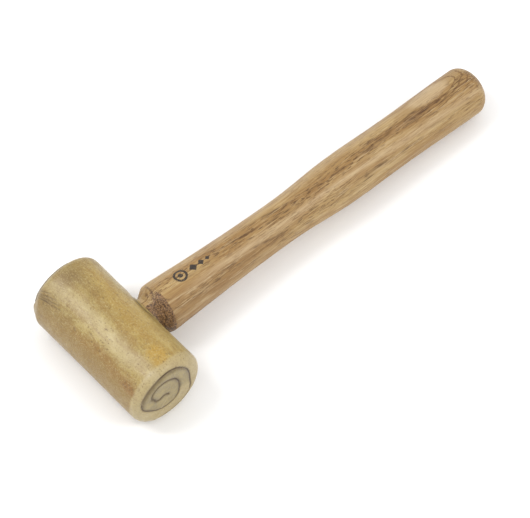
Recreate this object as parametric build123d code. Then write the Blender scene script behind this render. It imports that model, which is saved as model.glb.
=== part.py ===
from build123d import *
import math
import os

# A rawhide mallet lying on its side on a bench. The head is one strip of hide rolled up on
# itself, glued and tacked, and the turned handle has a tenon that is glued and pinned in a
# blind eye. It is built about the centre of the head: the handle runs along +X, the head's
# axis along Y, and the cheeks face +Z and -Z. The whole mallet is then tipped until the butt
# of the handle meets the bench, and the origin moves to the middle of its footprint.
# All sizes are in millimetres.

# Head
head_diameter = 38.0
head_length = 74.0
face_round = 4.9  # radius of the edge between the striking faces and the barrel
face_round_limit = 0.9  # largest share of the head's radius or half length it may take
head_waist = 0.15  # the dried hide is this much slimmer, on the radius, midway along
seam_width = 0.45  # thickness of the glue line between two turns of the strip
seam_recess = 0.35  # the glue stops this far below the surface of the hide

# Path of the seam on a striking face seen from -Y, as (x, z) shares of the head's radius,
# from the fold at the core to the outer lap, where it runs out past the surface
seam_path = [
    (-0.05, 0.03), (-0.16, 0.09), (-0.29, 0.06), (-0.345, 0.0), (-0.40, 0.06), (-0.50, 0.21),
    (-0.575, 0.35), (-0.54, 0.48), (-0.44, 0.59), (-0.22, 0.64), (0.0, 0.58), (0.18, 0.42),
    (0.28, 0.16), (0.29, -0.11), (0.22, -0.33), (0.0, -0.44), (-0.22, -0.42), (-0.44, -0.31),
    (-0.67, -0.11), (-0.81, 0.05), (-0.81, 0.31), (-0.53, 0.70), (-0.24, 0.84), (0.16, 0.84),
    (0.47, 0.58), (0.62, 0.0), (0.60, -0.44), (0.24, -0.72), (-0.26, -0.79), (-0.66, -0.90),
]  # fmt: skip
seam_arcs = 28  # arcs that the path is built from

# Handle, measured along its own axis from the axis of the head
handle_reach = 219.0  # head axis to the tip of the butt
shoulder_gap = 0.6  # bare tenon left between the barrel and the shoulder
shoulder_length = 5.4  # rough-cut cone between the tenon and the full neck
shoulder_round = 0.8
neck_diameter = 24.5
neck_slope = -0.03  # change of radius per millimetre where the neck starts to taper
taper_diameter, taper_from_neck = 22.8, 20.0
waist_diameter, waist_from_neck = 20.4, 60.0
waist_end_diameter, waist_end_from_butt = 20.8, 111.0
swell_diameter, swell_from_butt = 23.4, 88.5
grip_diameter, grip_from_butt = 23.0, 58.5
butt_diameter = 23.8
butt_dome = 7.6  # depth of the domed end
butt_fullness = 0.6  # 0.55 is half an ellipsoid, more is squarer

# Joint between head and handle
tenon_diameter = 17.0
tenon_chamfer = 1.0
eye_wall = 7.2  # hide left behind the bottom of the blind eye
eye_clearance = 0.05  # radial gap that the glue fills
eye_end_gap = 0.8  # pocket left for spare glue between the tenon and the bottom of the eye

# Retaining pin, driven from the underside through the wall of the head and the tenon
pin_diameter = 2.2
pin_head_diameter = 3.6
pin_head_thickness = 0.9
pin_set = 0.8  # the head of the pin is punched this far below the hide
pin_cover = 7.2  # hide left above the point of the pin

# Tacks along the outer lap
tack_count = 4
tack_margin = 10.0  # from the first and last tack to the striking faces
tack_from_lap = 12.0  # degrees from the edge of the lap back to the row of tacks
tack_diameter = 1.2
tack_head_diameter = 2.8
tack_head_thickness = 0.5
tack_length = 9.0
tack_set = 0.2

nail_point = 1.5  # length of the point of a pin or tack, in diameters of its shank

head_radius = head_diameter / 2
eye_bottom = eye_wall - head_radius
tenon_tip = eye_bottom + eye_end_gap
pin_length = head_diameter - pin_set - pin_cover
tack_pitch = (head_length - 2 * tack_margin) / (tack_count - 1)
shoulder_start = head_radius + shoulder_gap
neck_start = shoulder_start + shoulder_length
butt_start = handle_reach - butt_dome


def barrel(inset):
    """The rolled head as a solid about Y, slightly waisted and made smaller by the inset."""
    radius, end = head_radius - inset, head_length / 2 - inset
    rounding = min(face_round, face_round_limit * min(radius, end))
    flat, side = radius - rounding, end - rounding
    slant = rounding * math.sqrt(0.5)
    outline = [
        Line((0, -end), (flat, -end)),
        ThreePointArc((flat, -end), (flat + slant, -side - slant), (radius, -side)),
        ThreePointArc((radius, -side), (radius - head_waist, 0), (radius, side)),
        ThreePointArc((radius, side), (flat + slant, side + slant), (flat, end)),
        Line((flat, end), (0, end)),
        Line((0, end), (0, -end)),
    ]
    return revolve(make_face(outline), Axis.Y)


def hide_surface(y):
    """Distance from the head's axis to the hide, this far along from the middle."""
    return head_radius - head_waist * (1 - (y / (head_length / 2 - face_round)) ** 2)


def seam_tool():
    """The seam as a spiral band that is longer than the head and runs out past its surface."""
    curve = Spline([(x * head_radius, 0, z * head_radius) for x, z in seam_path])
    points = [curve @ (i / (2 * seam_arcs)) for i in range(2 * seam_arcs + 1)]
    path = Wire([ThreePointArc(points[i : i + 3]) for i in range(0, 2 * seam_arcs, 2)])
    band = Face(path.offset_2d(seam_width / 2, side=Side.BOTH))
    return extrude(band, amount=head_length, dir=(0, 1, 0), both=True)


def eye_tool():
    """The blind eye that the tenon goes into, open towards the handle."""
    radius = tenon_diameter / 2 + eye_clearance
    along = (Align.CENTER, Align.CENTER, Align.MIN)
    bore = Cylinder(radius, shoulder_start - eye_bottom, align=along)
    return Pos(eye_bottom, 0, 0) * Rot(0, 90, 0) * bore


def nail(length, shank, head, head_thickness):
    """A wire nail along +Z with the top of its head at the origin and its point inside."""
    point = nail_point * shank
    outline = Polyline(
        (0, 0),
        (head / 2, 0),
        (head / 2, head_thickness),
        (shank / 2, head_thickness),
        (shank / 2, length - point),
        (0, length),
        close=True,
    )
    return revolve(Plane.XZ * make_face(outline), Axis.Z)


def driven(nail_body, head, depth):
    """The hole that a nail leaves when its head is punched this far below the surface."""
    opening = Cylinder(head / 2, 2 * depth, align=(Align.CENTER, Align.CENTER, Align.MAX))
    return nail_body + opening


def pin_place():
    """Where the retaining pin's head sits: under the head of the mallet, pointing up."""
    return Pos(0, 0, pin_set - hide_surface(0))


def tack_places():
    """Where the tacks' heads sit: a row along the outer lap, pointing at the head's axis."""
    x, z = seam_path[-1]
    lap = math.degrees(math.atan2(z, x))
    turn = Rot(0, 270 - (lap + tack_from_lap), 0)
    row = [(i - (tack_count - 1) / 2) * tack_pitch for i in range(tack_count)]
    return [turn * Pos(0, y, tack_set - hide_surface(y)) for y in row]


def handle_blank():
    """The handle, turned about +X: tenon, shoulder, neck, waist, swell, grip and domed butt."""
    tenon, neck, butt = tenon_diameter / 2, neck_diameter / 2, butt_diameter / 2
    tenon_line = Polyline(
        (tenon_tip, 0),
        (tenon_tip, tenon - tenon_chamfer),
        (tenon_tip + tenon_chamfer, tenon),
        (shoulder_start, tenon),
        (neck_start, neck),
    )
    grip_line = Spline(
        (neck_start, neck),
        (neck_start + taper_from_neck, taper_diameter / 2),
        (neck_start + waist_from_neck, waist_diameter / 2),
        (handle_reach - waist_end_from_butt, waist_end_diameter / 2),
        (handle_reach - swell_from_butt, swell_diameter / 2),
        (handle_reach - grip_from_butt, grip_diameter / 2),
        (butt_start, butt),
        tangents=[(1, neck_slope), (1, 0)],
    )
    dome = Bezier(
        (butt_start, butt),
        (butt_start + butt_fullness * butt_dome, butt),
        (handle_reach, butt_fullness * butt),
        (handle_reach, 0),
    )
    axis_line = Line((handle_reach, 0), (tenon_tip, 0))
    outline = make_face([tenon_line, grip_line, dome, axis_line])
    blank = revolve(outline, Axis.X)
    rings = blank.edges().filter_by(GeomType.CIRCLE)
    shoulder = rings.sort_by(lambda ring: abs(ring.center().X - neck_start))[0]
    return fillet(shoulder, shoulder_round)


def mallet():
    """Every piece by name, in the frame of the head's centre."""
    pin = nail(pin_length, pin_diameter, pin_head_diameter, pin_head_thickness)
    tack = nail(tack_length, tack_diameter, tack_head_diameter, tack_head_thickness)
    pin_hole = pin_place() * driven(pin, pin_head_diameter, pin_set)
    tack_hole = driven(tack, tack_head_diameter, tack_set)
    nail_holes = [pin_hole] + [place * tack_hole for place in tack_places()]
    seam = seam_tool()
    eye = eye_tool()
    return {
        "rawhide_roll": [barrel(0) - seam - eye - nail_holes],
        "glue_seam": [(seam & barrel(seam_recess)) - eye - nail_holes],
        "handle": [handle_blank() - pin_hole],
        "retaining_pin": [pin_place() * pin],
        "lap_tacks": [place * tack for place in tack_places()],
    }


def on_bench():
    """The tip about Y that lays the butt on the bench, then the move to the footprint's middle."""
    butt = butt_diameter / 2
    tip = math.asin(head_radius / math.hypot(butt_start, butt)) - math.atan2(butt, butt_start)
    middle = (handle_reach * math.cos(tip) - head_radius) / 2
    return Pos(-middle, 0, head_radius) * Rot(0, math.degrees(tip), 0)


os.makedirs("parts", exist_ok=True)
for name, pieces in mallet().items():
    solids = [solid for piece in pieces for solid in (on_bench() * piece).solids()]
    export_step(Compound(solids), f"parts/{name}.step")
    print(name, len(solids), [round(s.volume, 1) for s in solids])
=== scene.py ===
import math

import bpy
import numpy as np
from mathutils import Matrix, Vector
from mathutils.bvhtree import BVHTree


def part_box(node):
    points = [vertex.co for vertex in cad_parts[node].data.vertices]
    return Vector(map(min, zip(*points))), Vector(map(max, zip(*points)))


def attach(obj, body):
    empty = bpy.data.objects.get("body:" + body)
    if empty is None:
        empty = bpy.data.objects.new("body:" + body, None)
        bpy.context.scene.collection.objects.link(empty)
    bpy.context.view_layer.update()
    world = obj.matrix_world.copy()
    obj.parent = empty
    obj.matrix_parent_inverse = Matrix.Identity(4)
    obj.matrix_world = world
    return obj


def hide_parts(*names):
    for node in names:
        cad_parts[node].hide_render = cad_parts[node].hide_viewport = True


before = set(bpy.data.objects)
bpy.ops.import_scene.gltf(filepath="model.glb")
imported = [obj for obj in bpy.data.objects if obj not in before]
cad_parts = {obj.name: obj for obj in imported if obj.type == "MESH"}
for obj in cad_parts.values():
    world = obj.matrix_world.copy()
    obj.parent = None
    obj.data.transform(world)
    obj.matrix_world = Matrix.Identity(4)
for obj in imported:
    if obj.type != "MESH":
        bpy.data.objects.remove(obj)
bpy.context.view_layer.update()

# A rawhide mallet lying on a pale bench. The CAD nodes give every place and size. The head and
# the handle are rebuilt here as fine meshes with the hide's and the wood's own surface, in the
# mallet's frame: origin at the head's centre, +X along the handle, +Y along the head's axis.
# Inside the meshes lengths are in millimetres, and each object's matrix turns them into metres.

MM = 0.001

# ---------------------------------------------------------------- sizes read from the frame
ROLL_LOW, ROLL_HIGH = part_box("rawhide_roll")
HEAD_CENTRE = (ROLL_LOW + ROLL_HIGH) / 2
HEAD_RADIUS = (ROLL_HIGH.z - ROLL_LOW.z) / 2 / MM
HEAD_HALF = (ROLL_HIGH.y - ROLL_LOW.y) / 2 / MM
HANDLE_POINTS = np.array([v.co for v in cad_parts["handle"].data.vertices])
BUTT_TIP = Vector(max(HANDLE_POINTS, key=lambda p: (Vector(p) - HEAD_CENTRE).length))
TIP_ANGLE = math.atan2(HEAD_CENTRE.z - BUTT_TIP.z, BUTT_TIP.x - HEAD_CENTRE.x)
REACH = (BUTT_TIP - HEAD_CENTRE).length / MM
MALLET = Matrix.Translation(HEAD_CENTRE) @ Matrix.Rotation(TIP_ANGLE, 4, "Y")
TO_MALLET_MM = Matrix.Scale(1 / MM, 4) @ MALLET.inverted()

# ---------------------------------------------------------------- the hide's and wood's sizes
FACE_ROUND = 4.9  # radius of the rim between the striking faces and the barrel
HEAD_WAIST = 0.15  # the barrel is this much slimmer, on the radius, midway along
EYE_RADIUS = 8.55
EYE_BOTTOM = -11.8
TENON_TIP = -11.0
TENON_CHAMFER = 1.0
SHOULDER_START = 19.6
NECK_START = 25.0
BUTT_DOME = 7.6  # depth of the handle's domed end
SEAM_RECESS = 0.35  # the glue stops this far below the hide

RING_CENTRE = (0.034, -0.020)  # metres from the handle's axis to the heart of the tree
STAMP_AT = (39.0, -1.5)  # along the handle, and round it from its top, in millimetres
STAMP_RADIUS = 12.1  # of the handle where the stamp is

# ---------------------------------------------------------------- studio
WORLD_LIGHT = 0.95
KEY_WATTS, FILL_WATTS = 6.5, 3.5
STUDIO_GAIN = 1.36  # how much brighter than its base colour an upward surface comes out


def in_mallet_frame(node):
    """A CAD node's vertices and polygons, in the mallet's frame and in millimetres."""
    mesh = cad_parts[node].data
    points = [TO_MALLET_MM @ v.co for v in mesh.vertices]
    return points, [list(p.vertices) for p in mesh.polygons]


def smooth(edge0, edge1, x):
    """0 up to edge0, 1 from edge1, and a smooth step between."""
    t = np.clip((x - edge0) / (edge1 - edge0), 0, 1)
    return t * t * (3 - 2 * t)


def lumps(points, size, seed):
    """Smooth random lumps of about this size in millimetres, from -1 to 1."""
    q = np.asarray(points) / size
    cell = np.floor(q).astype(np.int64)
    f = q - cell
    f = f * f * (3 - 2 * f)
    table = np.random.default_rng(seed).random(8192) * 2 - 1
    total = np.zeros(len(q))
    for corner in range(8):
        step = np.array([corner & 1, corner >> 1 & 1, corner >> 2 & 1])
        c = cell + step
        key = (c[:, 0] * 73856093) ^ (c[:, 1] * 19349663) ^ (c[:, 2] * 83492791)
        weight = np.prod(np.where(step == 1, f, 1 - f), axis=1)
        total += weight * table[key & 8191]
    return total


def stroke(u, v, start, end, width):
    """How much a point (u, v) lies in a scratch from start to end that thins out at both ends."""
    a, b = np.array(start, float), np.array(end, float)
    d = b - a
    t = np.clip(((u - a[0]) * d[0] + (v - a[1]) * d[1]) / (d @ d), 0, 1)
    gap = np.hypot(u - a[0] - t * d[0], v - a[1] - t * d[1])
    return np.exp(-((gap / width) ** 2)) * np.sqrt(np.clip(4 * t * (1 - t), 0, 1))


def strokes(u, v, marks):
    """Several strokes together, each given as its start, end and width."""
    return sum(stroke(u, v, *mark) for mark in marks)


def ridge(u, centre, width):
    """A soft line: 1 on its centre, and fading over this width on both sides."""
    return np.exp(-(((u - centre) / width) ** 2))


def blot(u, v, centre, half, softness=0.5):
    """A soft oval patch around centre, 1 inside and 0 beyond its half sizes."""
    d = np.hypot((u - centre[0]) / half[0], (v - centre[1]) / half[1])
    return 1 - smooth(1 - softness, 1 + softness, d)


def new_piece(name, points, polygons, masks, stands_for, material):
    """Makes a smooth mesh in the mallet's frame, with its masks as vertex attributes."""
    mesh = bpy.data.meshes.new(name)
    mesh.from_pydata((np.asarray(points) * MM).tolist(), [], polygons)
    mesh.validate()
    for mask, values in masks.items():
        layer = mesh.attributes.new(mask, "FLOAT", "POINT")
        layer.data.foreach_set("value", np.asarray(values, np.float32))
    mesh.polygons.foreach_set("use_smooth", [True] * len(mesh.polygons))
    mesh.materials.append(material)
    piece = bpy.data.objects.new(name, mesh)
    bpy.context.scene.collection.objects.link(piece)
    piece.matrix_world = MALLET
    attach(piece, "root")
    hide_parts(stands_for)
    return piece


# ---------------------------------------------------------------- material helpers
def srgb(r, g, b):
    """The base colour of a surface that should read as this, 0 to 255, in the studio light."""
    return (*(((c / 255 + 0.055) / 1.055) ** 2.4 / STUDIO_GAIN for c in (r, g, b)), 1.0)


class Shader:
    """A small helper that builds one Principled material out of nodes."""

    def __init__(self, name, **settings):
        self.material = bpy.data.materials.new(name)
        self.material.use_nodes = True
        self.tree = self.material.node_tree
        self.surface = self.tree.nodes["Principled BSDF"]
        for socket, value in settings.items():
            self.surface.inputs[socket.replace("_", " ")].default_value = value
        self.coords = self.node("ShaderNodeTexCoord").outputs["Object"]

    def node(self, kind, **settings):
        """A new node of this kind with these settings."""
        made = self.tree.nodes.new(kind)
        for key, value in settings.items():
            setattr(made, key, value)
        return made

    def put(self, socket, value):
        """Links a socket to another one, or sets it to a plain value."""
        if isinstance(value, bpy.types.NodeSocket):
            self.tree.links.new(value, socket)
        else:
            socket.default_value = value

    def mask(self, name):
        """One of the masks that the mesh carries."""
        return self.node("ShaderNodeAttribute", attribute_name=name).outputs["Fac"]

    def math(self, operation, a, b=0.0):
        made = self.node("ShaderNodeMath", operation=operation)
        self.put(made.inputs[0], a)
        self.put(made.inputs[1], b)
        return made.outputs[0]

    def stretched(self, x, y, z):
        """Coordinates divided by these sizes in millimetres, so that a pattern has that grain."""
        made = self.node("ShaderNodeMapping")
        self.put(made.inputs["Vector"], self.coords)
        made.inputs["Scale"].default_value = [1 / (s * MM) for s in (x, y, z)]
        return made.outputs[0]

    def noise(self, vector, detail=3.0, roughness=0.55, distortion=0.0):
        made = self.node("ShaderNodeTexNoise")
        self.put(made.inputs["Vector"], vector)
        made.inputs["Scale"].default_value = 1.0
        made.inputs["Detail"].default_value = detail
        made.inputs["Roughness"].default_value = roughness
        made.inputs["Distortion"].default_value = distortion
        return made.outputs["Fac"]

    def ramp(self, value, low, high, to_low=0.0, to_high=1.0):
        """Maps low..high to to_low..to_high with a smooth step, and holds the ends."""
        made = self.node("ShaderNodeMapRange", interpolation_type="SMOOTHSTEP")
        for socket, v in zip(made.inputs, (value, low, high, to_low, to_high)):
            self.put(socket, v)
        return made.outputs[0]

    def blend(self, factor, a, b):
        """Colour a where the factor is 0 and colour b where it is 1."""
        made = self.node("ShaderNodeMix", data_type="RGBA")
        for socket, value in ((0, factor), (6, a), (7, b)):  # 6 and 7 are the colour inputs
            self.put(made.inputs[socket], value)
        return made.outputs[2]

    def bump(self, height, strength, depth_mm, under=None):
        """A bumped normal, on top of another one if that is given."""
        made = self.node("ShaderNodeBump")
        made.inputs["Strength"].default_value = strength
        made.inputs["Distance"].default_value = depth_mm * MM
        self.put(made.inputs["Height"], height)
        if under:
            self.put(made.inputs["Normal"], under)
        return made.outputs[0]

    def finish(self, colour, roughness, normal):
        """Plugs the three into the surface and hands the material over."""
        self.put(self.surface.inputs["Base Color"], colour)
        self.put(self.surface.inputs["Roughness"], roughness)
        self.put(self.surface.inputs["Normal"], normal)
        return self.material


# ---------------------------------------------------------------- materials
def rawhide_material():
    """Dried hide: honey yellow with amber and grey-brown patches, pores and a waxy gloss."""
    s = Shader("rawhide", Coat_Weight=0.15, Coat_Roughness=0.3, IOR=1.5)
    broad = s.noise(s.stretched(13, 24, 13), 4, 0.6, 0.6)
    streak = s.noise(s.stretched(3.2, 24, 3.2), 4, 0.6)
    mottle = s.noise(s.stretched(3.6, 4.6, 3.6), 5, 0.68)
    fine = s.noise(s.stretched(0.8, 1.0, 0.8), 3, 0.65)
    crinkle = s.noise(s.stretched(2.0, 2.6, 2.0), 3, 0.6, 1.2)
    colour = s.blend(s.ramp(broad, 0.38, 0.62), srgb(172, 146, 78), srgb(186, 161, 90))
    colour = s.blend(s.ramp(streak, 0.46, 0.64, 0.0, 0.75), colour, srgb(158, 125, 62))
    colour = s.blend(s.ramp(streak, 0.46, 0.34, 0.0, 0.5), colour, srgb(202, 182, 118))
    colour = s.blend(s.ramp(mottle, 0.5, 0.66, 0.0, 0.55), colour, srgb(158, 128, 66))
    colour = s.blend(s.ramp(mottle, 0.48, 0.34, 0.0, 0.45), colour, srgb(206, 186, 122))
    colour = s.blend(s.mask("flank"), colour, srgb(150, 118, 58))
    colour = s.blend(s.mask("gold"), colour, srgb(190, 152, 64))
    colour = s.blend(s.mask("amber"), colour, srgb(148, 104, 40))
    colour = s.blend(s.mask("grey"), colour, srgb(130, 104, 60))
    # paler cream hide on the face rims, and a painted highlight as a long band along the barrel
    colour = s.blend(s.mask("cream_and_highlight"), colour, srgb(194, 175, 130))
    line = s.math("ABSOLUTE", s.math("SUBTRACT", crinkle, 0.5))
    colour = s.blend(s.ramp(line, 0.02, 0.0, 0.0, 0.5), colour, srgb(214, 196, 142))
    grainy = s.ramp(s.mask("flank"), 0.0, 0.7, 1.0, 0.3)  # the flank is smoother
    dark_grain = s.math("MULTIPLY", s.ramp(fine, 0.55, 0.68, 0.0, 0.5), grainy)
    pale_grain = s.math("MULTIPLY", s.ramp(fine, 0.44, 0.32, 0.0, 0.4), grainy)
    colour = s.blend(dark_grain, colour, srgb(118, 90, 42))
    colour = s.blend(pale_grain, colour, srgb(210, 190, 132))
    speck = s.noise(s.stretched(0.8, 1.4, 0.8), 2, 0.5)
    patchy = s.ramp(broad, 0.46, 0.56, 0.15, 1.0)
    pocked = s.math("MULTIPLY", s.ramp(speck, 0.64, 0.7, 0.0, 0.6), patchy)
    colour = s.blend(pocked, colour, srgb(104, 76, 36))
    inner = s.blend(s.ramp(mottle, 0.35, 0.65), srgb(150, 131, 84), srgb(178, 158, 104))
    inner = s.blend(s.ramp(fine, 0.5, 0.7, 0.0, 0.4), inner, srgb(120, 102, 64))
    colour = s.blend(s.mask("core"), colour, inner)
    colour = s.blend(s.mask("shade"), colour, srgb(120, 102, 66))
    colour = s.blend(s.mask("dark"), colour, srgb(96, 74, 42))
    pores = s.noise(s.stretched(0.5, 0.65, 0.5), 2, 0.5)
    normal = s.bump(mottle, 0.5, 0.35)
    normal = s.bump(s.ramp(line, 0.03, 0.0), 0.25, 0.1, normal)
    normal = s.bump(s.ramp(pores, 0.35, 0.55), 0.4, 0.12, normal)
    rough = s.ramp(mottle, 0.3, 0.7, 0.32, 0.5)
    return s.finish(colour, rough, normal)


def wood_material():
    """Oiled open-pored hardwood: growth rings cut by the turned surface, and dark pores."""
    s = Shader("handle_wood", Coat_Weight=0.06, Coat_Roughness=0.4, IOR=1.45)
    wander = s.noise(s.stretched(50, 9, 9), 3, 0.5)
    rings = s.node("ShaderNodeTexWave", wave_type="RINGS", rings_direction="X", wave_profile="SAW")
    shifted = s.node("ShaderNodeMapping")
    s.put(shifted.inputs["Vector"], s.coords)
    shifted.inputs["Location"].default_value = (0.0, *RING_CENTRE)
    shifted.inputs["Rotation"].default_value = (0.0, 0.035, -0.03)
    shifted.inputs["Scale"].default_value = (18.0, 100.0, 100.0)
    s.put(rings.inputs["Vector"], shifted.outputs[0])
    rings.inputs["Scale"].default_value = 0.9
    rings.inputs["Distortion"].default_value = 2.6
    rings.inputs["Detail"].default_value = 3.0
    rings.inputs["Detail Scale"].default_value = 0.9
    ring = rings.outputs["Fac"]
    streak = s.noise(s.stretched(34, 1.7, 1.7), 4, 0.6)
    fibre = s.noise(s.stretched(12, 0.55, 0.55), 4, 0.65)
    line = s.noise(s.stretched(16, 0.6, 0.6), 2, 0.5)
    pore = s.noise(s.stretched(3.6, 0.45, 0.45), 2, 0.5)
    colour = s.blend(s.ramp(wander, 0.38, 0.62), srgb(178, 142, 86), srgb(196, 164, 108))
    colour = s.blend(s.mask("brown"), colour, srgb(150, 110, 58))
    colour = s.blend(s.ramp(streak, 0.48, 0.64, 0.0, 0.65), colour, srgb(164, 124, 70))
    colour = s.blend(s.ramp(streak, 0.46, 0.34, 0.0, 0.5), colour, srgb(208, 180, 136))
    colour = s.blend(s.ramp(ring, 0.5, 1.0, 0.0, 0.4), colour, srgb(152, 112, 60))
    # pale wood in the cathedral loop, and a painted highlight band along the handle
    colour = s.blend(s.mask("pale_and_highlight"), colour, srgb(212, 184, 142))
    colour = s.blend(s.ramp(fibre, 0.5, 0.68, 0.0, 0.4), colour, srgb(146, 106, 58))
    colour = s.blend(s.ramp(fibre, 0.46, 0.3, 0.0, 0.5), colour, srgb(222, 196, 148))
    sway = s.math("MULTIPLY", s.math("SUBTRACT", streak, 0.5), 0.4)
    swirl = s.math("MULTIPLY", s.math("ADD", s.mask("figure"), sway), 3.2)
    loop = s.math("ABSOLUTE", s.math("SUBTRACT", s.math("FRACT", swirl), 0.5))
    looped = s.math("MULTIPLY", s.ramp(loop, 0.16, 0.02), s.mask("cathedral"))
    colour = s.blend(s.math("MULTIPLY", looped, 0.85), colour, srgb(122, 84, 40))
    grained = s.mask("grained")
    lines = s.math("MULTIPLY", s.ramp(line, 0.55, 0.62), grained)
    colour = s.blend(s.math("MULTIPLY", lines, 0.75), colour, srgb(122, 84, 42))
    dense = s.math("MULTIPLY", s.ramp(pore, 0.56, 0.62), grained)
    colour = s.blend(s.math("MULTIPLY", dense, 0.85), colour, srgb(98, 64, 28))
    broken = s.math("MULTIPLY", s.mask("vein"), s.ramp(fibre, 0.3, 0.55, 0.5, 1.0))
    colour = s.blend(broken, colour, srgb(90, 58, 26))
    stipple = s.noise(s.stretched(0.55, 0.55, 0.55), 3, 0.7)
    # stippled dark end grain on the shoulder; its darkest part is painted shade
    cut = s.blend(s.ramp(stipple, 0.38, 0.62), srgb(62, 38, 18), srgb(168, 128, 84))
    torn_and_shade = s.math("ADD", s.mask("endgrain_and_shade"), s.math("SUBTRACT", stipple, 0.5))
    colour = s.blend(s.ramp(torn_and_shade, 0.35, 0.65), colour, cut)
    colour = s.blend(stamp(s), colour, srgb(44, 36, 32))
    normal = s.bump(s.math("MULTIPLY", dense, -1.0), 0.6, 0.18)
    normal = s.bump(fibre, 0.4, 0.14, normal)
    rough = s.ramp(fibre, 0.3, 0.7, 0.4, 0.6)
    return s.finish(colour, rough, normal)


def stamp(s):
    """A plain dark ring, dot and three lozenges printed on the neck."""
    axes = s.node("ShaderNodeSeparateXYZ")
    s.put(axes.inputs[0], s.coords)
    x, y, z = (s.math("DIVIDE", axis, MM) for axis in axes.outputs)
    around = s.math("MULTIPLY", s.math("ARCTAN2", s.math("MULTIPLY", y, -1.0), z), STAMP_RADIUS)
    u = s.math("SUBTRACT", x, STAMP_AT[0])
    v = s.math("SUBTRACT", around, STAMP_AT[1])
    apart = s.math("SQRT", s.math("ADD", s.math("POWER", u, 2.0), s.math("POWER", v, 2.0)))
    ring_radius, ring_half, dot_radius, soft = 2.9, 0.5, 1.15, 0.15
    from_ring = s.math("ABSOLUTE", s.math("SUBTRACT", apart, ring_radius))
    ink = s.ramp(from_ring, ring_half + soft, ring_half)
    ink = s.math("MAXIMUM", ink, s.ramp(apart, dot_radius + soft, dot_radius))
    for middle, half in ((7.5, 2.2), (12.0, 1.7), (15.8, 1.2)):
        along = s.math("ABSOLUTE", s.math("SUBTRACT", u, middle))
        away = s.math("ADD", along, s.math("ABSOLUTE", v))
        ink = s.math("MAXIMUM", ink, s.ramp(away, half + 0.1, half))
    above = s.ramp(z, 0.0, 1.0)
    worn = s.ramp(s.noise(s.stretched(0.9, 0.5, 0.5), 3, 0.6), 0.34, 0.42, 0.35, 0.95)
    return s.math("MULTIPLY", s.math("MULTIPLY", ink, above), worn)


def glue_material():
    """Dark dried glue with small grains and a slight shine."""
    s = Shader("hide_glue", IOR=1.5)
    grain = s.noise(s.stretched(0.8, 2.0, 0.8), 3, 0.6)
    colour = s.blend(grain, srgb(74, 54, 32), srgb(112, 88, 56))
    return s.finish(colour, s.ramp(grain, 0.3, 0.7, 0.35, 0.6), s.bump(grain, 0.5, 0.1))


def metal_material(name, dark, light):
    """Drawn wire or a stamped tack: dull, scratched and a little tarnished."""
    s = Shader(name, Metallic=1.0)
    tarnish = s.noise(s.stretched(0.9, 0.9, 0.9), 4, 0.65)
    scratch = s.noise(s.stretched(0.1, 0.1, 2.0), 2, 0.5)
    colour = s.blend(s.ramp(tarnish, 0.35, 0.65), dark, light)
    return s.finish(colour, s.ramp(tarnish, 0.3, 0.7, 0.3, 0.6), s.bump(scratch, 0.3, 0.03))


# ---------------------------------------------------------------- the head
SEGMENTS = 112  # cells across a striking face; four times as many go round the barrel
RIM_ROWS = 14  # rows of cells over the round of the rim
BARREL_STEP = 0.55  # length of a cell along the barrel
FAR = 9.0  # stands for no glue near


def face_grid():
    """Unit disc points on a square grid, its rim in order round the edge, and its cells."""
    steps = np.linspace(-1, 1, SEGMENTS + 1)
    a, b = np.meshgrid(steps, steps, indexing="ij")
    wide = np.abs(a) > np.abs(b)
    safe_a, safe_b = np.where(a == 0, 1, a), np.where(b == 0, 1, b)
    angle = np.where(wide, math.pi / 4 * b / safe_a, math.pi / 2 - math.pi / 4 * a / safe_b)
    radius = np.where(wide, a, b)
    x, z = radius * np.cos(angle), radius * np.sin(angle)
    at = np.arange((SEGMENTS + 1) ** 2).reshape(SEGMENTS + 1, SEGMENTS + 1)
    rim = np.concatenate([at[-1, :-1], at[:0:-1, -1], at[0, :0:-1], at[:-1, 0]])
    cells = np.stack([at[:-1, :-1], at[1:, :-1], at[1:, 1:], at[:-1, 1:]], -1).reshape(-1, 4)
    return x.ravel(), z.ravel(), rim, cells


def head_profile():
    """The radius, place along Y and tilt of the normal at each ring between the two faces."""
    flat, straight = HEAD_RADIUS - FACE_ROUND, HEAD_HALF - FACE_ROUND
    rim = [
        (flat + FACE_ROUND * math.sin(t), straight + FACE_ROUND * math.cos(t), t)
        for t in np.linspace(0, math.pi / 2, RIM_ROWS + 1)[1:]
    ]
    count = round(2 * straight / BARREL_STEP)
    stations = [-straight + 2 * straight * i / count for i in range(1, count)]
    barrel = [
        (HEAD_RADIUS - HEAD_WAIST * (1 - (y / straight) ** 2), y, math.pi / 2) for y in stations
    ]
    return [(r, -y, t) for r, y, t in rim] + barrel + [(r, y, math.pi - t) for r, y, t in rim[::-1]]


def head_grid():
    """The head's clean surface: points, outward normals and polygons, all in one closed mesh."""
    x, z, rim, cells = face_grid()
    flat = HEAD_RADIUS - FACE_ROUND
    nought, one = np.zeros_like(x), np.ones_like(x)
    points = [np.stack([x * flat, one * -HEAD_HALF, z * flat], 1)]
    normals = [np.stack([nought, -one, nought], 1)]
    profile = head_profile()
    ring_x, ring_z, level = x[rim], z[rim], np.ones(len(rim))
    for radius, y, tilt in profile:
        across, lengthwise = math.sin(tilt), -math.cos(tilt)
        points.append(np.stack([ring_x * radius, level * y, ring_z * radius], 1))
        normals.append(np.stack([ring_x * across, level * lengthwise, ring_z * across], 1))
    points.append(np.stack([x * flat, one * HEAD_HALF, z * flat], 1))
    normals.append(np.stack([nought, one, nought], 1))
    first = len(x)
    last = first + len(profile) * len(rim)
    loops = [rim, *(first + k * len(rim) + np.arange(len(rim)) for k in range(len(profile)))]
    loops.append(last + rim)
    polygons = cells.tolist() + (last + cells[:, ::-1]).tolist()
    for low, high in zip(loops[:-1], loops[1:]):
        polygons += np.stack([low, high, np.roll(high, -1), np.roll(low, -1)], 1).tolist()
    return np.concatenate(points), np.concatenate(normals), polygons


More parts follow.
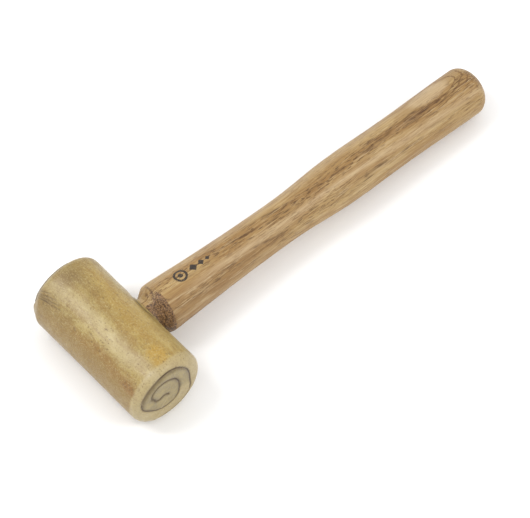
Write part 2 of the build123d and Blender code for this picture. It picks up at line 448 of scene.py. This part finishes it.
def seam_masks(points, normals):
    """How close each point is to the glue it can show, and how far inside the outer turn it is."""
    corners, polygons = in_mallet_frame("glue_seam")
    ribbon = BVHTree.FromPolygons(corners, polygons)
    under = points - normals * (SEAM_RECESS + 0.1)
    nearest = [ribbon.find_nearest(Vector(p)) for p in under]
    gap = np.array([found[3] for found in nearest])
    outer = [c for c in corners if math.hypot(c.x, c.z) > HEAD_RADIUS - SEAM_RECESS - 0.02]
    lap = math.atan2(sum(c.x for c in outer), sum(c.z for c in outer))
    turn = np.arctan2(points[:, 0], points[:, 2]) - lap
    turn = (turn + math.pi) % (2 * math.pi) - math.pi
    on_barrel = np.abs(points[:, 1]) < HEAD_HALF - FACE_ROUND
    hidden = on_barrel & (np.abs(turn) > math.radians(4))  # the barrel shows only the lap
    gap = np.where(hidden, FAR, gap)
    turns = np.zeros(len(points))
    level = HEAD_HALF - FACE_ROUND - 2
    for i in np.flatnonzero(~on_barrel):
        x, y, z = points[i]
        place = Vector((x, math.copysign(level, y), z))
        out = Vector((x, 0, z)).normalized() if x or z else Vector((1, 0, 0))
        hits = 0
        for _ in range(12):  # more than the seam has walls
            hit = ribbon.ray_cast(place, out)[0]
            if hit is None:
                break
            hits += 1
            place = hit + out * 0.01
        turns[i] = hits / 2
    return gap, turns


def from_axis(points, middle, towards):
    """How far points lie along an axis that leaves the head at y = middle, and away from it."""
    rise = points @ towards
    return rise, np.linalg.norm(points - [0, middle, 0] - rise[:, None] * towards, axis=1)


def sink_nails(points):
    """Presses the hide in over the heads of the pin and the tacks, so that each shows in a pit."""
    out = points.copy()
    foot, lip, cover = 0.05, 0.45, 0.25  # the pit's floor and edge past the head, and its depth
    for node, pitch in (("retaining_pin", 100), ("lap_tacks", 12)):
        corners = np.array(in_mallet_frame(node)[0])
        places = np.round(corners[:, 1] / pitch)
        for place in np.unique(places):
            nail = corners[places == place]
            middle = (nail.max(0) + nail.min(0))[1] / 2
            towards = nail.mean(0) * [1, 0, 1]
            towards /= np.linalg.norm(towards)
            rise, away = from_axis(points, middle, towards)
            nail_rise, nail_away = from_axis(nail, middle, towards)
            head = nail_away.max()
            sink = (1 - smooth(head + foot, head + lip, away)) * (rise > 0)
            out += (sink * np.minimum(nail_rise.max() - cover - rise, 0))[:, None] * towards
    return out


# Dark wrinkles that run in from the far rim on the cheek away from the handle: start, end and
# width. Places on the hide are millimetres round the barrel from its top, and along it.
CREASES = [
    ((-19.4, 37), (-15.0, 22), 0.35), ((-18.4, 37), (-14.0, 25), 0.28),
    ((-20.2, 36), (-17.2, 27), 0.3), ((-17.0, 36), (-13.4, 29), 0.25),
    ((-19.0, 33), (-16.0, 20), 0.22),
]  # fmt: skip
SPOTS = [
    (-20.6, -24.4), (-18.9, -24.8), (-20.4, -26.2), (-18.6, -27.2), (-20.2, -28.6), (-18.8, -30.0),
    (4.0, -29.0), (5.2, -29.4), (9.2, 9.0), (-18.2, 9.6), (-17.6, 10.4), (2.0, 11.0), (-14.0, 2.0),
    (-17.0, -6.0),
]  # fmt: skip
SPOT_RADIUS = 0.42


def make_head():
    """The rolled hide, with its seam, its blind eye, wrinkles, pits and colour patches."""
    points, normals, polygons = head_grid()
    x, y, z = points.T
    angle = np.degrees(np.arctan2(x, z))  # 0 on top, positive towards the handle
    around = np.radians(angle) * HEAD_RADIUS
    gap, turns = seam_masks(points, normals)
    line = 1 - smooth(0.05, 0.42, gap)
    on_face = smooth(HEAD_HALF - 2.4, HEAD_HALF - 1.2, np.abs(y))
    past_ring = np.maximum(smooth(80, 112, angle), angle < -142)  # under the lap the band is clean
    core = on_face * np.clip(turns - past_ring, 0, 1)
    creases = sum(
        stroke(around + 0.25 * lumps(points, 3, 20 + k), y, *crease)
        for k, crease in enumerate(CREASES)
    )
    spots = sum(
        np.exp(-(((around - a) ** 2 + (y - b) ** 2) / SPOT_RADIUS**2)) for a, b in SPOTS
    )
    pits = smooth(0.45, 0.8, lumps(points, 0.9, 5) * (0.6 + 0.4 * lumps(points, 8, 6)))

    # relief: how far each point stands out of the clean surface
    depth = 0.10 * lumps(points, 11, 7) + 0.05 * lumps(points, 4, 8) + 0.02 * lumps(points, 1.6, 9)
    depth -= 0.16 * np.clip(creases, 0, 1) + 0.12 * np.clip(spots, 0, 1) + 0.05 * pits
    depth -= 0.38 * line
    from_handle = np.hypot(y, z)
    from_eye = np.where(x > 0, from_handle, 99)
    depth += 0.4 * ridge(from_eye, 9.2, 1.1) - 0.22 * ridge(from_eye, 11.6, 0.7)
    depth -= on_face * (0.06 * np.cos(turns * 2.4) + 0.05)

    # colour patches, a painted highlight band and painted shade, with wandering edges
    wobble = lumps(points, 9, 1) * 2.5 + lumps(points, 3.5, 2) * 1.0
    u, v = around + wobble, y + lumps(points, 7, 3) * 2.0
    front = smooth(-HEAD_HALF + 6.2, -HEAD_HALF + 4.8, 0.8 * y + 0.2 * v)
    back = smooth(HEAD_HALF - 4.5, HEAD_HALF - 2.5, v)
    # painted shadow of the handle's shoulder, in a ring on the hide round the eye
    rim = smooth(10.2, 10.8, from_handle) * (1 - smooth(11.2, 13.0, from_handle)) * (x > 0)
    gold = 0.8 * blot(u, v, (-0.8, -27), (4.5, 5)) + 0.45 * blot(u, v, (6, -2), (8, 34))
    amber = 0.8 * blot(u, v, (-20.2, -28), (2.2, 5)) + 0.45 * blot(u, v, (-17.6, -8), (2.4, 22))
    grey = 0.55 * blot(u, v, (-1.0, 28), (6, 6), 0.8) + 0.3 * blot(u, v, (-16, 24), (5, 12))
    grey = grey + 0.3 * blot(u, v, (0, 12), (4, 12)) + 0.3 * smooth(20, 36, v)
    # paler hide on the front and back rims, and a painted highlight band along the barrel's upper
    # side away from the handle
    cream_and_highlight = 0.7 * front + 0.15 * back + 0.4 * blot(u, v, (-9.2, 0), (4, 44))
    masks = {
        "core": core,
        # shade: painted shade beside the sunk seam inside the outer turn, and the painted shadow
        # round the eye
        "shade": np.clip(0.6 * (1 - smooth(0.2, 1.8, gap)) * core + 0.85 * rim, 0, 1),
        "dark": np.clip(0.7 * line + 0.6 * creases + 0.6 * spots + 0.1 * pits, 0, 1),
        "flank": 0.8 * smooth(-14, -22, u) * (1 - front),
        "gold": gold,
        "amber": np.clip(amber, 0, 1),
        "grey": np.clip(grey, 0, 1),
        "cream_and_highlight": np.clip(cream_and_highlight, 0, 1),
    }

    slanted = smooth(20, HEAD_HALF, y) * blot(angle, y, (-95, HEAD_HALF), (32, 30), 0.4)
    outer = smooth(16.6, 18.4, np.hypot(x, z))
    points = sink_nails(bore_eye(points + normals * depth[:, None]))
    points[:, 1] -= 1.6 * slanted * outer  # the far face is cut back at one edge
    hide = rawhide_material()
    return new_piece("rolled_hide", points, polygons, masks, "rawhide_roll", hide)


def bore_eye(points):
    """Sinks the part of the barrel inside the eye's circle, which leaves a blind round hole."""
    x, y, z = points.T
    rho = np.hypot(y, z)
    lip, wall = 0.35, 1.2
    mouth = (x > 0) & (rho < EYE_RADIUS + lip)
    sink = np.clip((EYE_RADIUS - rho) / wall, 0, 1)
    on_floor = rho < EYE_RADIUS - wall
    wider = rho * EYE_RADIUS / (EYE_RADIUS - wall)
    upright = EYE_RADIUS + np.clip(rho - EYE_RADIUS, 0, lip)
    new_rho = np.where(on_floor, wider, upright)
    scale = np.where(mouth & (rho > 1e-6), new_rho / np.maximum(rho, 1e-6), 1.0)
    lip_x = np.sqrt(np.maximum(HEAD_RADIUS**2 - (z * scale) ** 2, 0))
    sunk = lip_x + (EYE_BOTTOM - lip_x) * sink
    out = points.copy()
    out[:, 1], out[:, 2] = y * scale, z * scale
    out[:, 0] = np.where(mouth, np.where(rho < EYE_RADIUS, sunk, x), x)
    return out


# ---------------------------------------------------------------- the handle
AROUND = 200  # cells round the handle
GRIP_STEP = 0.5  # length of a cell along it
EVEN_OUT = 12  # stations on each side over which the profile is evened out


def handle_profile():
    """Stations along the handle and its radius at each, read from the CAD node."""
    local = np.array([TO_MALLET_MM @ Vector(p) for p in HANDLE_POINTS])
    along, radius = local[:, 0], np.hypot(local[:, 1], local[:, 2])
    tenon = radius[along < SHOULDER_START - 1].max()
    outer = (along > NECK_START + 1) & (along < REACH - 1)
    order = np.argsort(along[outer])
    return tenon, along[outer][order], radius[outer][order]


def handle_rings():
    """Stations along the handle, from the tenon's tip to the butt, and its radius at each."""
    tenon, rings_x, rings_r = handle_profile()
    neck = rings_r[0]
    grip_end = REACH - BUTT_DOME
    grip = np.linspace(NECK_START + 0.9, grip_end, round((grip_end - NECK_START) / GRIP_STEP))
    kernel = np.hanning(2 * EVEN_OUT + 1) / np.hanning(2 * EVEN_OUT + 1).sum()
    padded = np.pad(np.interp(grip, rings_x, rings_r), EVEN_OUT, mode="edge")
    grip_r = np.convolve(padded, kernel, "valid")
    length, rise = NECK_START - SHOULDER_START, neck - tenon
    turn = np.linspace(0, math.pi / 2, 22)[1:-1]
    stations = [(TENON_TIP, 0.5), (TENON_TIP, tenon - TENON_CHAMFER)]
    stations += [(TENON_TIP + TENON_CHAMFER, tenon)]
    stations += [(x, tenon) for x in np.linspace(-8, SHOULDER_START - 1, 10)]
    stations += [
        (SHOULDER_START + length * c, tenon + rise * c) for c in np.linspace(0, 1, 16)[:-1]
    ]
    stations += [(NECK_START - 0.1, neck - 0.12), (NECK_START + 0.25, neck - 0.03)]
    stations += list(zip(grip, grip_r))
    stations += [
        (grip_end + BUTT_DOME * math.sin(t), grip_r[-1] * math.cos(t) ** 0.85) for t in turn
    ]
    return np.array(stations)


# Dark veins along the grain and cracks at the shoulder: start, end and width. Places on the
# handle are millimetres along it, and round it from its top towards -Y.
VEINS = [
    ((73, 7.0), (92, 9.4), 0.5), ((50, 10.0), (68, 6.6), 0.3), ((108, 8.4), (126, 9.8), 0.35),
    ((140, 11.0), (156, 10.2), 0.5), ((178, 8.5), (197, 10.3), 0.5),
    ((130, 13.0), (150, 12.4), 0.35), ((196, 10.4), (210, 11.4), 0.35),
    ((60, -1.6), (84, 0.6), 0.4), ((76, -3.0), (104, -0.8), 0.4), ((84, 1.4), (108, 2.2), 0.35),
    ((112, 0.6), (138, 1.8), 0.3), ((142, 1.2), (164, 0.6), 0.45), ((160, 0.2), (178, -0.8), 0.4),
    ((172, 0.8), (193, 1.9), 0.5), ((176, -1.6), (190, 0.9), 0.4), ((180, 2.8), (200, 3.4), 0.3),
    ((166, 2.0), (182, 2.6), 0.3), ((196, 2.2), (211, -1.4), 0.7), ((30, -4.0), (37, -3.3), 0.3),
]  # fmt: skip
CRACKS = [
    ((24.8, -10), (23.6, -2.6), 0.34), ((24.2, -4.4), (22.7, -0.4), 0.34),
    ((22.9, -1.4), (23.6, 3.0), 0.34), ((23.0, 1.8), (27.2, 5.2), 0.34),
    ((22.4, -6.2), (21.2, -2.8), 0.34),
]  # fmt: skip
# Two lines that wander round the handle: the band where a highlight is painted on, and the brown
# heart
HIGHLIGHT_BAND = [30, 60, 100, 140, 180, 205], [5.5, 5.2, 5.8, 6.3, 7.6, 8.6]
BROWN_HEART = [30, 60, 90, 130, 170, 200], [-2.0, -1.4, 0.4, 1.0, 0.6, 1.8]


def make_handle():
    """The turned handle, with its torn shoulder, cracks, veins, pores and growth rings, a painted
    highlight band, and painted shade on one side of the shoulder.
    """
    stations = handle_rings()
    phi = np.linspace(0, 2 * math.pi, AROUND, endpoint=False)  # 0 on top, positive towards -Y
    x = np.repeat(stations[:, 0], AROUND)
    r = np.repeat(stations[:, 1], AROUND)
    p = np.tile(phi, len(stations))
    degrees = (np.degrees(p) + 180) % 360 - 180
    clean = np.stack([x, -r * np.sin(p), r * np.cos(p)], 1)
    before_neck = 1 - smooth(NECK_START - 0.2, NECK_START + 0.8, x)
    on_cone = smooth(SHOULDER_START - 0.5, SHOULDER_START + 0.8, x) * before_neck
    facets = np.abs(np.sin(p * 4.5 + 0.8)) * 0.28  # the shoulder is rough-cut in flats
    rough = lumps(clean, 1.1, 31) * 0.16 + lumps(clean, 2.4, 32) * 0.2
    near = smooth(-20, 30, degrees) * (1 - smooth(110, 150, degrees))  # the side with torn grain
    r = r + on_cone * (facets - 0.25 + rough * (0.4 + near))
    edge = ridge(x - NECK_START, 0.3, 0.8)
    r = r - edge * (0.12 + 0.16 * lumps(clean, 2.6, 33))
    ripple = 0.06 * lumps(clean / [3, 1, 1], 7, 34) + 0.025 * lumps(clean / [6, 1, 1], 1.2, 35)
    r = r + smooth(NECK_START, NECK_START + 3, x) * ripple
    points = np.stack([x, -r * np.sin(p), r * np.cos(p)], 1)
    # a dark stain on the torn side of the shoulder, and painted shade there too
    stain_and_shade = smooth(0.1, 0.6, near + 0.35 * lumps(clean, 1.3, 37))
    cut = smooth(15.5, 17, x) * before_neck
    masks = wood_masks(clean, np.radians(degrees) * r, degrees, cut * stain_and_shade, edge * stain_and_shade)

    at = np.arange(len(points)).reshape(-1, AROUND)
    beside = np.roll(at, -1, axis=1)
    polygons = np.stack([at[:-1], beside[:-1], beside[1:], at[1:]], -1).reshape(-1, 4).tolist()
    first, last = len(points), len(points) + 1
    points = np.vstack([points, [[TENON_TIP, 0, 0], [REACH, 0, 0]]])
    polygons += [(first, b, a) for a, b in zip(at[0].tolist(), beside[0].tolist())]
    polygons += [(last, a, b) for a, b in zip(at[-1].tolist(), beside[-1].tolist())]
    masks = {name: np.append(values, [0, 0]) for name, values in masks.items()}
    wood = wood_material()
    return new_piece("turned_handle", points, polygons, masks, "handle", wood)


def wood_masks(clean, arc, degrees, torn_and_shade, torn_edge_and_shade):
    """Where the wood is veined, pale or painted with a highlight, brown, open-grained, looped, or
    torn and painted with shade.
    """
    x = clean[:, 0]
    grain = arc + 0.6 * lumps(clean / [6, 1, 1], 3, 36)
    from_highlight_band = grain - np.interp(x, *HIGHLIGHT_BAND)
    from_heart = grain - np.interp(x, *BROWN_HEART)
    away = np.hypot((x - 192) / 14, (grain + 4.6) / 5.6)  # from the middle of the cathedral loop
    # a painted highlight along the band, and the pale middle of the cathedral loop
    pale_and_highlight = 0.5 * smooth(30, 60, x) * ridge(from_highlight_band, 0, 1.7) + 0.75 * (1 - smooth(0.6, 1.0, away))
    pale_and_highlight = pale_and_highlight + 0.3 * blot(x, grain, (110, -6.5), (80, 2.4))
    brown = 0.55 * smooth(50, 80, x) * (1 - smooth(196, 206, x)) * ridge(from_heart, 0, 1.9)
    for centre, half, softness, strength in (
        ((178, 1.2), (15, 2.2), 0.8, 0.45),
        ((212, 2), (6, 4), 0.5, 0.5),
        ((80, 8.6), (20, 1.8), 0.5, 0.35),
        ((70, 12.5), (30, 2.2), 0.5, 0.3),
        ((150, 10.5), (20, 1.6), 0.5, 0.35),
    ):
        brown = brown + strength * blot(x, grain, centre, half, softness)
    brown = brown + 0.6 * smooth(1, 8, grain) * (1 - smooth(50, 95, x))
    figure = away + 0.1 * lumps(clean / [4, 1, 1], 2.5, 40)
    cathedral = smooth(0.86, 1.0, away) * (1 - smooth(1.5, 2.3, away)) * smooth(184, 192, x)
    grained = 0.34 + 0.8 * ridge(from_heart, 0, 2.4) + 0.45 * ridge(from_highlight_band, 4.2, 1.6)
    grained = grained + 0.35 * lumps(clean / [8, 1, 1], 2.4, 41)
    vein = strokes(x, grain, VEINS) * (0.55 + 0.9 * lumps(clean / [4, 1, 1], 0.8, 38))
    # the torn side is darkened along the veins as well, partly as painted shade
    vein = vein + strokes(x, arc, CRACKS) + 0.6 * torn_and_shade * smooth(35, 80, degrees)
    return {
        "figure": figure,
        "cathedral": cathedral,
        "grained": np.clip(grained, 0.1, 1),
        "vein": np.clip(vein, 0, 1) * 0.85,
        "pale_and_highlight": np.clip(pale_and_highlight, 0, 1),
        "brown": np.clip(brown, 0, 1),
        # torn end grain and painted shade on one side of the shoulder
        "endgrain_and_shade": np.clip(torn_and_shade + 0.5 * torn_edge_and_shade, 0, 1),
    }


# ---------------------------------------------------------------- stage
def make_stage():
    """A plain pale floor under plain soft studio light."""
    bpy.ops.mesh.primitive_plane_add(size=6, location=(0, 0, 0))
    floor = bpy.context.object
    floor.name = "floor"
    paper = Shader("floor_paper", Base_Color=(0.96, 0.96, 0.96, 1), Roughness=0.9)
    floor.data.materials.append(paper.material)
    world = bpy.data.worlds.new("studio")
    world.use_nodes = True
    world.node_tree.nodes["Background"].inputs["Color"].default_value = (1, 1, 1, 1)
    world.node_tree.nodes["Background"].inputs["Strength"].default_value = WORLD_LIGHT
    bpy.context.scene.world = world
    softbox("key", (-0.43, 0.40, 0.81), 1.2, (0.30, 0.75), KEY_WATTS)
    softbox("fill", (0.34, -0.61, 0.71), 1.2, (0.5, 0.5), FILL_WATTS)


def softbox(name, direction, distance, size, power):
    """A rectangular light, this way and this far from the head and facing it."""
    light = bpy.data.lights.new(name, "AREA")
    light.shape = "RECTANGLE"
    light.size, light.size_y = size
    light.energy = power
    lamp = bpy.data.objects.new(name, light)
    bpy.context.scene.collection.objects.link(lamp)
    towards = Vector(direction).normalized()
    lamp.location = HEAD_CENTRE + towards * distance
    lamp.rotation_euler = towards.to_track_quat("Z", "Y").to_euler()


def make_camera():
    """Looks down on the mallet from beyond the head, with a long lens."""
    azimuth, elevation, roll = math.radians(-40.46), math.radians(58.15), math.radians(0.28)
    distance, lens = 2.058, 316.1
    aim_right, aim_up = 0.0322, 0.0172  # where it looks, per metre of distance from the head
    back = Vector((
        math.sin(azimuth) * math.cos(elevation),
        -math.cos(azimuth) * math.cos(elevation),
        math.sin(elevation),
    ))
    level = Vector((math.cos(azimuth), math.sin(azimuth), 0))
    upright = back.cross(level)
    right = level * math.cos(roll) - upright * math.sin(roll)
    up = level * math.sin(roll) + upright * math.cos(roll)
    axis = (back - right * aim_right - up * aim_up).normalized()
    across = (right - axis * right.dot(axis)).normalized()
    data = bpy.data.cameras.new("camera")
    data.lens = lens
    data.sensor_width = 36.0
    data.clip_end = 20.0
    camera = bpy.data.objects.new("camera", data)
    turn = Matrix((across, axis.cross(across), axis)).transposed().to_4x4()
    camera.matrix_world = Matrix.Translation(HEAD_CENTRE + back * distance) @ turn
    bpy.context.scene.collection.objects.link(camera)
    bpy.context.scene.camera = camera


def dress_cad_nodes():
    """The pieces whose CAD shape is right keep it and get their finish."""
    finishes = {
        "glue_seam": glue_material(),
        "retaining_pin": metal_material("steel_wire", srgb(92, 90, 86), srgb(168, 166, 160)),
        "lap_tacks": metal_material("tack_brass", srgb(120, 92, 44), srgb(196, 164, 96)),
    }
    for node, finish in finishes.items():
        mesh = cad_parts[node].data
        mesh.materials.clear()
        mesh.materials.append(finish)


make_head()
make_handle()
dress_cad_nodes()
make_stage()
make_camera()
bpy.context.scene.view_settings.view_transform = "Standard"
